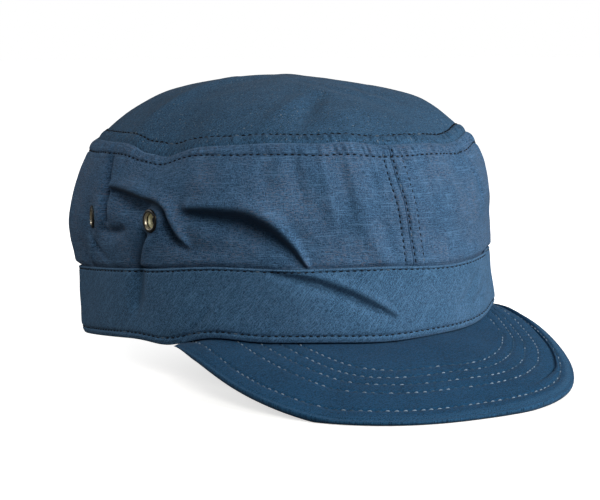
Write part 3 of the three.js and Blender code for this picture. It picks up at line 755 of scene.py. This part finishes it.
def make_peak():
    ends = np.linspace(-1, 1, 361)
    degrees = 90 * np.sign(ends) * np.abs(ends) ** 0.9
    rim, climb = peak_rim(degrees)
    shares = np.concatenate([np.linspace(0, 0.8, 80)[:-1], np.linspace(0.8, 1, 52)])
    upper = peak_point(degrees[:, None], shares)
    thick = PEAK["thickness"] + (PEAK["corner_thickness"] - PEAK["thickness"]) * climb
    thick = thick * (0.12 + 0.88 * smooth(90 - np.abs(degrees), 0, 14))
    plain = peak_plain(degrees[:, None], np.array([0.0, 0.25, 0.5, 0.7, 0.85, 0.93, 1.0]))
    down = unit(np.cross(np.gradient(plain, axis=0), np.gradient(plain, axis=1)))
    down *= -np.sign(down[..., 2:3])
    under = plain + down * thick[:, None, None]
    under[..., 2] = np.maximum(under[..., 2], OFF_TABLE)
    top_rim, low_rim = upper[:, -1], under[:, -1]
    out = rim - plain[:, -2]
    out[:, 2] = 0
    out = unit(out)
    turns = np.radians(np.arange(15, 180, 15))
    middle, half = (top_rim + low_rim) / 2, (top_rim - low_rim) / 2
    bulge = (PEAK["round"] * thick / PEAK["thickness"])[:, None] * 1.15
    edge = np.stack([middle + half * math.cos(a) + out * bulge * math.sin(a) for a in turns], axis=1)
    edge[..., 2] = np.maximum(edge[..., 2], OFF_TABLE)
    # the lip that stands up behind the hem
    lip = np.stack([under[:, 0], upper[:, 0], upper[:, 0]], axis=1)
    inward = [0, PEAK["y"], 0] - lip[:, 0]
    inward[:, 2] = 0
    inward = unit(inward) * 0.7
    lip[:, 0] += inward
    lip[:, 1] += inward
    lip[:, 1:, 2] += 3.2
    points = np.concatenate([upper, edge, under[:, ::-1], lip], axis=1)
    faces = grid_faces(len(degrees), points.shape[1], close_columns=True)
    # the rim is paler outside the board's edge, where it is rubbed, with a painted highlight that grows towards the
    # wearer's left, the lit side; palest where the edge itself is rubbed
    tone = np.zeros(points.shape[:2])
    past_board = 1 - smooth(rim_distance(upper, PEAK_RIM_LINE[::4]), 2.2, 3.2)
    tone[:, : len(shares)] = past_board * (0.3 + 1.1 * smooth(degrees, -60, 40))[:, None]
    tone[:, len(shares) - 4 : len(shares) + 8] = 1
    return add_mesh("peak_cloth", points, faces, points[..., :2], tone)


def eyelet_frame(degrees, up):
    """The middle of the cloth there, and its directions to the left, out and up."""
    at = lambda turn, rise: panel_point(degrees + turn, up + rise, CLOTH / 2, False)
    step = 2.0
    turn = step / AROUND_PER_DEGREE
    across = at(turn, 0) - at(-turn, 0)
    out = unit(np.cross(across, at(0, step) - at(0, -step)))
    side = unit(across)
    return at(0, 0), side, out, np.cross(out, side)


# radius, height over the middle of the cloth, and which of the three looks follows
EYELET_PROFILE = [
    (4.75, 0.35, 0), (4.72, 0.62, 0), (4.5, 0.86, 0), (4.15, 1.0, 0), (3.8, 1.02, 0), (3.5, 0.94, 1),
    (3.25, 0.74, 1), (3.05, 0.42, 1), (2.92, 0.0, 0), (2.85, -0.6, 2), (2.8, -1.1, 2), (2.6, -1.45, 2),
    (2.2, -1.62, 2), (1.75, -1.66, 2), (1.6, -1.78, 2), (1.9, -1.9, 2), (3.2, -1.75, 2), (4.7, -1.3, 2),
    (4.72, -0.7, 2), (3.4, -0.62, 2), (3.3, 0.3, 2),
]


def make_eyelet(name, degrees, up):
    centre, side, out, rise = eyelet_frame(degrees, up)
    turns = np.linspace(0, 2 * math.pi, 72, endpoint=False)
    radius, height, cover = (np.array(v) for v in zip(*EYELET_PROFILE))
    wobble = 1 + 0.006 * ripple(turns * 8, 5, len(name))
    ring = side * np.cos(turns)[:, None] + rise * np.sin(turns)[:, None]
    points = centre + ring[:, None] * (radius * wobble[:, None])[..., None] + out * height[:, None]
    faces = grid_faces(len(turns), len(radius), close_rows=True, close_columns=True)
    return add_mesh(name + "_metal", points, faces, slots=np.tile(cover, len(turns)))


# ---- Stitches


def make_stitches(name, rows, pitch=2.7, gap=0.9, radius=0.28, rise=0.16, seed=1):
    """Short threads along rows, each from a hole up over the cloth and down into the next."""
    rng = np.random.default_rng(seed)
    rings, sides, sunk = 6, 6, 0.16
    turns = np.linspace(0, 2 * math.pi, sides, endpoint=False)
    all_points, all_faces, tones, base = [], [], [], 0
    for line, normal in rows:
        length = np.concatenate([[0], np.cumsum(np.linalg.norm(np.diff(line, axis=0), axis=1))])
        for start in np.arange(0.5, length[-1] - pitch, pitch):
            t = np.linspace(0, 1, rings)
            s = start + rng.uniform(-0.12, 0.12) + t * (pitch - gap)
            centre, out = (np.stack([np.interp(s, length, v) for v in of.T], axis=1) for of in (line, normal))
            out = unit(out)
            aside = np.cross(out, unit(np.gradient(centre, axis=0)))
            arch = np.sin(t * math.pi) ** 0.7
            lift = rise * arch - sunk * (1 - arch)
            centre = centre + out * lift[:, None] + aside * rng.uniform(-0.05, 0.05)
            size = radius * (0.35 + 0.65 * np.sin(np.clip(t * 1.02, 0, 1) * math.pi) ** 0.5)
            ring = aside[:, None] * np.cos(turns)[:, None] + out[:, None] * np.sin(turns)[:, None]
            points = centre[:, None] + ring * size[:, None, None]
            all_points.append(points.reshape(-1, 3))
            all_faces.append(grid_faces(rings, sides, close_columns=True) + base)
            tones.append(np.full(rings * sides, rng.uniform()))
            base += rings * sides
    return add_mesh(name, np.concatenate(all_points), np.concatenate(all_faces), tone=np.concatenate(tones))


def surface_row(surface, a, b, step_a=0.15, step_b=0.15, upwards=False):
    """Points and outward normals along a line on a surface, given as two lists of its coordinates."""
    ahead = surface(a + step_a, b) - surface(a - step_a, b)
    normal = unit(np.cross(ahead, surface(a, b + step_b) - surface(a, b - step_b)))
    if upwards:
        normal *= np.sign(normal[:, 2:3])
    return surface(a, b), normal


def make_all_stitches():
    ring = np.linspace(-180, 180, 1400)
    panel = lambda a, u: panel_point(a, u, 0.0)
    band = lambda a, u: band_point(a, u, 0.0)
    top = lambda a, s: top_point(a, s / DOME_ARC)
    side = surface_row(panel, ring, PANEL_HEIGHT - panel_row(ring * AROUND_PER_DEGREE))
    band_top = surface_row(band, ring, np.full(ring.shape, BAND_HEIGHT - BAND_TOP_ROW))
    hem = surface_row(band, ring, np.full(ring.shape, HEM_ROW))
    steep = 1.22
    crown = surface_row(top, ring, DOME_ARC - crown_row(ring * CROWN_AROUND_PER_DEGREE) / steep, upwards=True)
    made = [
        make_stitches("stitches_side_panels", [side], radius=0.3, rise=0.2, seed=2),
        make_stitches("stitches_band_top", [band_top], seed=3),
        make_stitches("stitches_hem", [hem], seed=4),
        make_stitches("stitches_crown_top", [crown], radius=0.34, gap=0.7, rise=0.3, seed=5),
    ]
    up = np.linspace(1.2, PANEL_HEIGHT - 1.0, 160)
    seams = [seam_row(name, up) for name in SEAM_ROWS]
    seams += [np.full(up.shape, BACK + off) for off in (-BACK_ROW, BACK_ROW)]
    rows = [surface_row(panel, around / AROUND_PER_DEGREE, up) for around in seams]
    made.append(make_stitches("stitches_seams", rows, pitch=2.5, seed=6))
    rows = []
    degrees = np.linspace(-89, 89, 700)
    shares = np.linspace(0.02, 1, 80)
    insets = rim_distance(peak_plain(degrees[:, None], shares), PEAK_RIM_LINE[::4])
    for row in PEAK_ROWS:
        wanted = np.interp(degrees, ROW_ANGLES, row)
        seen = insets[:, 0] > wanted
        a = degrees[seen]
        s = np.array([np.interp(-want, -inset, shares) for want, inset in zip(wanted[seen], insets[seen])])
        rows.append(surface_row(peak_point, a, s, 0.2, 0.004, upwards=True))
    made.append(make_stitches("stitches_peak", rows, pitch=3.2, gap=1.4, radius=0.24, rise=0.2, seed=7))
    return made


# ---- Materials


class Nodes:
    """Short names for making a material's nodes."""

    def __init__(self, name):
        self.material = bpy.data.materials.new(name)
        self.material.use_nodes = True
        self.tree = self.material.node_tree
        self.shader = self.tree.nodes["Principled BSDF"]

    def fill(self, node, inputs):
        for key, value in inputs.items():
            if isinstance(value, bpy.types.NodeSocket):
                self.tree.links.new(value, node.inputs[key])
            else:
                node.inputs[key].default_value = value

    def put(self, kind, inputs=None, **settings):
        node = self.tree.nodes.new("ShaderNode" + kind)
        for key, value in settings.items():
            setattr(node, key, value)
        self.fill(node, inputs or {})
        return node

    def math(self, operation, a, b=0.0, c=0.0, clamp=False):
        return self.put("Math", {0: a, 1: b, 2: c}, operation=operation, use_clamp=clamp).outputs[0]

    def mix(self, factor, a, b):
        return self.put("Mix", {0: factor, 6: a, 7: b}, data_type="RGBA").outputs[2]

    def stretch(self, vector, scale=(1, 1, 1), turn=0.0, shift=(0, 0, 0)):
        inputs = {"Vector": vector, "Scale": scale, "Rotation": (0, 0, turn), "Location": shift}
        return self.put("Mapping", inputs).outputs[0]

    def noise(self, vector, scale, detail, roughness):
        inputs = {"Vector": vector, "Scale": scale, "Detail": detail, "Roughness": roughness}
        return self.put("TexNoise", inputs).outputs[0]

    def ramp(self, value, low, high, to_low=0.0, to_high=1.0):
        inputs = {0: value, 1: low, 2: high, 3: to_low, 4: to_high}
        return self.put("MapRange", inputs, interpolation_type="SMOOTHSTEP").outputs[0]

    def bump(self, strength, distance, height):
        return self.put("Bump", {"Strength": strength, "Distance": distance, "Height": height}).outputs[0]

    def done(self, inputs):
        self.fill(self.shader, inputs)
        return self.material


def cloth_material(name, mean, brown=0.0, turn=0.0, lines=0.5, grain=1.0, lint=0.0):
    """Woven cotton of this mean colour: uneven threads, faint heavier ones, faded dye and rubbed edges."""
    n = Nodes(name)
    deep = tuple(c * 0.42 for c in mean) + (1,)
    light = tuple(c * 1.75 + 0.004 for c in mean) + (1,)
    # pale dust, also the colour of the painted highlight on the peak's rim
    dust_and_highlight = tuple(c * 1.5 + grey for c, grey in zip(mean, (0.03, 0.044, 0.054))) + (1,)
    uv = n.put("UVMap", uv_map="cloth").outputs[0]
    cloth = n.stretch(uv, turn=turn)
    # single threads, long one way and thin the other, and the specks where they cross
    weft = n.noise(n.stretch(cloth, (0.55, 2.3, 1)), 1.0, 3.0, 0.6)
    warp = n.noise(n.stretch(cloth, (2.3, 0.7, 1), shift=(17, 5, 0)), 1.0, 3.0, 0.6)
    speck = n.noise(cloth, 2.3, 2.0, 0.7)
    value = n.math("MULTIPLY_ADD", weft, 1.3 * grain, 0.5 - 2.2 * grain)
    value = n.math("MULTIPLY_ADD", warp, 0.9 * grain, value)
    value = n.math("MULTIPLY_ADD", speck, 2.2 * grain, value)
    # dye and fading, from a hand's breadth down to a finger's
    patches = n.noise(n.stretch(cloth, shift=(3, 9, 0)), 0.05, 3.0, 0.55)
    mottling = n.noise(n.stretch(cloth, (0.7, 1, 1), shift=(31, 2, 0)), 0.3, 3.0, 0.6)
    value = n.math("MULTIPLY_ADD", n.math("SUBTRACT", patches, 0.5), 0.4, value)
    value = n.math("MULTIPLY_ADD", n.math("SUBTRACT", mottling, 0.5), 0.26, value)
    body = n.mix(n.math("ADD", value, 0.0, clamp=True), deep, light)
    # browner where the dye has gone from the heavier threads
    worn = n.math("MULTIPLY", n.ramp(patches, 0.38, 0.62), n.ramp(weft, 0.46, 0.66))
    body = n.mix(n.math("MULTIPLY", worn, brown), body, (0.125, 0.12, 0.145, 1))
    rows = n.noise(n.stretch(cloth, (0.06, 2.0, 1), shift=(0, 40, 0)), 1.0, 1.0, 0.5)
    rows = n.ramp(rows, 0.575, 0.63)
    columns = n.noise(n.stretch(cloth, (1.5, 0.06, 1), shift=(60, 0, 0)), 1.0, 1.0, 0.5)
    columns = n.ramp(columns, 0.61, 0.69)
    heavier = n.math("MULTIPLY", n.math("MULTIPLY_ADD", columns, 0.6, rows), n.ramp(mottling, 0.36, 0.6))
    body = n.mix(n.math("MULTIPLY", heavier, 0.72 * lines, clamp=True), body, dust_and_highlight)
    fluff = n.ramp(n.noise(n.stretch(cloth, shift=(80, 80, 0)), 1.1, 2.0, 0.4), 0.665, 0.72)
    body = n.mix(n.math("MULTIPLY", fluff, lint), body, (0.24, 0.27, 0.27, 1))
    # tone is above 0 where an edge is rubbed pale, and on the peak's rim also where a highlight is painted on its lit
    # side; below 0 it paints shade along the hanging folds' lines
    tone = n.put("Attribute", attribute_name="tone").outputs["Fac"]
    # rubbed pale edges, and the painted highlight on the peak's rim
    rubbed_and_highlit = n.math("MULTIPLY", tone, n.ramp(speck, 0.35, 0.6))
    body = n.mix(n.math("MULTIPLY", rubbed_and_highlit, 0.5, clamp=True), body, dust_and_highlight)
    # painted shade: the cloth goes towards its deep colour along the hanging folds' lines
    body = n.mix(n.math("MULTIPLY", tone, -0.85, clamp=True), body, deep)
    height = n.math("MULTIPLY_ADD", warp, 0.8, weft)
    height = n.math("MULTIPLY_ADD", n.noise(cloth, 2.8, 2.0, 0.6), 0.6, height)
    height = n.math("MULTIPLY_ADD", heavier, 0.25 * lines, height)
    return n.done({
        "Base Color": body,
        "Roughness": n.ramp(speck, 0.3, 0.7, 0.78, 0.95),
        "Sheen Weight": 0.04,
        "Sheen Roughness": 0.5,
        "Specular IOR Level": 0.12,
        "Normal": n.bump(0.55 * grain, 0.0003, height),
    })


def thread_material(name, dull, bright, share):
    """Sewing thread, a little uneven from stitch to stitch, with its twist."""
    n = Nodes(name)
    tone = n.put("Attribute", attribute_name="tone").outputs["Fac"]
    place = n.put("TexCoord").outputs["Object"]
    inputs = {"Vector": place, "Scale": 900.0, "Distortion": 1.0}
    twist = n.put("TexWave", inputs, bands_direction="DIAGONAL").outputs[1]
    colour = n.mix(n.ramp(tone, 1 - share, 1 - share / 3), dull + (1,), bright + (1,))
    colour = n.mix(n.math("MULTIPLY", twist, 0.35), colour, tuple(c * 0.5 for c in dull) + (1,))
    return n.done({
        "Base Color": colour,
        "Roughness": 0.7,
        "Specular IOR Level": 0.15,
        "Normal": n.bump(0.4, 0.0001, twist),
    })


def metal_material(name, bare, covered, amount, rough, shine=0.55):
    """Brass with what is left of its black coating, rubbed through in places."""
    n = Nodes(name)
    place = n.put("TexCoord").outputs["Object"]
    wear = n.noise(place, 700.0, 4.0, 0.65)
    scratch = n.noise(n.stretch(place, (1500, 1500, 300)), 1.0, 3.0, 0.6)
    mask = n.ramp(n.math("ADD", wear, n.math("MULTIPLY", scratch, 0.25)), amount - 0.07, amount + 0.07)
    return n.done({
        "Base Color": n.mix(mask, covered, bare),
        "Metallic": n.math("MULTIPLY_ADD", mask, 0.35, shine),
        "Roughness": n.math("ADD", n.math("MULTIPLY", scratch, 0.25), rough),
        "Normal": n.bump(0.3, 0.0001, wear),
    })


# ---- The cap

crown_look = cloth_material("crown cotton", (0.024, 0.069, 0.130), lines=0.35, grain=1.5, lint=0.5)
side_look = cloth_material("side cotton", (0.038, 0.094, 0.177), brown=0.65, lines=1.0, grain=1.45)
band_look = cloth_material("band cotton", (0.039, 0.102, 0.188), brown=0.2, turn=-math.pi / 4, lines=0.8, grain=1.45)
peak_look = cloth_material("peak cotton", (0.005, 0.046, 0.106), lines=0.2, grain=1.3)
dark_thread = thread_material("dark thread", (0.004, 0.007, 0.012), (0.12, 0.17, 0.22), 0.1)
pale_thread = thread_material("pale thread", (0.035, 0.085, 0.140), (0.26, 0.35, 0.44), 0.85)
eyelet_looks = [
    metal_material("blackened flange", (0.35, 0.27, 0.16, 1), (0.012, 0.011, 0.010, 1), 0.78, 0.3),
    metal_material("worn lip", (0.56, 0.50, 0.38, 1), (0.04, 0.036, 0.03, 1), 0.52, 0.22),
    metal_material("brass inside", (0.92, 0.88, 0.62, 1), (0.80, 0.75, 0.50, 1), 0.4, 0.3, 0.05),
]

for piece, node, look, slot in (
    (make_top(), "crown_top", crown_look, "crown_cloth"),
    (make_panel("right"), "side_panel_right", side_look, "side_cloth"),
    (make_panel("left"), "side_panel_left", side_look, "side_cloth"),
    (make_band(), "band", band_look, "band_cloth"),
    (make_peak(), "peak", peak_look, "peak_cloth"),
):
    piece.data.materials.append(look)
    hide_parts(node)
    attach(piece, "root")

for name, degrees, up, _ in EYELETS:
    piece = make_eyelet(name, degrees, up)
    for look in eyelet_looks:
        piece.data.materials.append(look)
    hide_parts(name)
    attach(piece, "root")

for piece in make_all_stitches():
    piece.data.materials.append(pale_thread if "peak" in piece.name else dark_thread)
    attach(piece, "root")

# ---- Table, light and camera


def plain_material(name, colour, rough, glow=0.0):
    return Nodes(name).done({"Base Color": colour, "Roughness": rough, "Emission Strength": glow})


def add_plane(name, half, look):
    mesh = bpy.data.meshes.new(name)
    mesh.from_pydata([(-half, -half, 0), (half, -half, 0), (half, half, 0), (-half, half, 0)], [], [(0, 1, 2, 3)])
    mesh.materials.append(look)
    plane = add_object(name, mesh)
    return plane


def direction(azimuth, elevation):
    a, e = math.radians(azimuth), math.radians(elevation)
    return np.array([math.sin(a) * math.cos(e), -math.cos(a) * math.cos(e), math.sin(e)])


def only_for_camera(piece):
    for ray in ("diffuse", "glossy", "transmission", "shadow"):
        setattr(piece, "visible_" + ray, False)


def table_material():
    """Pale card that glows, a painted light: weaker round the peak, so that the cap's shadow shows there, and full
    away from it.
    """
    n = Nodes("pale table")
    place = n.put("TexCoord").outputs["Object"]
    far = n.put("VectorMath", {0: place, 1: (0, -0.1, 0)}, operation="DISTANCE").outputs["Value"]
    return n.done({
        "Base Color": (0.86, 0.85, 0.81, 1),
        "Roughness": 0.9,
        # painted light: the card's glow grows with distance from a point under the peak
        "Emission Strength": n.ramp(far, 0.06, 0.2, 0.62, 1.0),
    })


TABLE_HALF = 9
only_for_camera(add_plane("table_seen", TABLE_HALF, table_material()))
bounce = add_plane("table_bounce", TABLE_HALF, plain_material("table bounce", (0.12, 0.12, 0.11, 1), 0.9))
bounce.location.z = -0.0005
bounce.visible_camera = False
turns = np.linspace(-180, 180, 97)
heights = np.linspace(-90, 90, 49)
ball = 1000 * TABLE_HALF * np.stack([direction(a, e) for a in turns for e in heights])
backdrop = add_mesh("backdrop", ball, grid_faces(len(turns), len(heights)))
backdrop.data.materials.append(plain_material("white backdrop", (0, 0, 0, 1), 1, 1.0))
only_for_camera(backdrop)

AIM = np.array([0.00483, -0.00343 + FOOTPRINT_SHIFT_Y / 1000, 0.0437])
LIGHT_DISTANCE = 1.6
LIGHT_SIZE = 0.7
# name, azimuth, elevation, power
LIGHTS = [
    ("key_light", 50, 15, 17),
    ("high_light", 20, 26, 10),
    ("fill_light", -18, 30, 10.5),
    ("left_light", -136, 22, 7.5),
]


def place_facing_cap(name, data, azimuth, elevation, distance, roll=0.0):
    """An object that looks at the cap from there, turned by roll."""
    back = direction(azimuth, elevation)
    right = unit(np.cross([0, 0, 1], back))
    up = np.cross(back, right)
    c, s = math.cos(roll), math.sin(roll)
    axes = np.array([right * c + up * s, up * c - right * s, back])
    piece = add_object(name, data)
    piece.matrix_world = Matrix.Translation(AIM + back * distance) @ Matrix(axes.T.tolist()).to_4x4()
    return piece


for name, azimuth, elevation, power in LIGHTS:
    light = bpy.data.lights.new(name, "AREA")
    light.shape = "DISK"
    light.size = LIGHT_SIZE
    light.energy = power
    place_facing_cap(name, light, azimuth, elevation, LIGHT_DISTANCE).visible_camera = False

world = bpy.data.worlds.new("studio")
SCENE.world = world
world.use_nodes = True
background = world.node_tree.nodes["Background"]
background.inputs["Color"].default_value = (1, 1, 1, 1)
background.inputs["Strength"].default_value = 0.07

camera_data = bpy.data.cameras.new("camera")
camera_data.lens = 103.2
camera_data.sensor_width = 36
camera_data.clip_start, camera_data.clip_end = 0.01, 50
camera = place_facing_cap("camera", camera_data, -30.35, 7.12, 0.750, math.radians(-0.40))
bpy.context.scene.camera = camera
SCENE.view_settings.view_transform = "Standard"
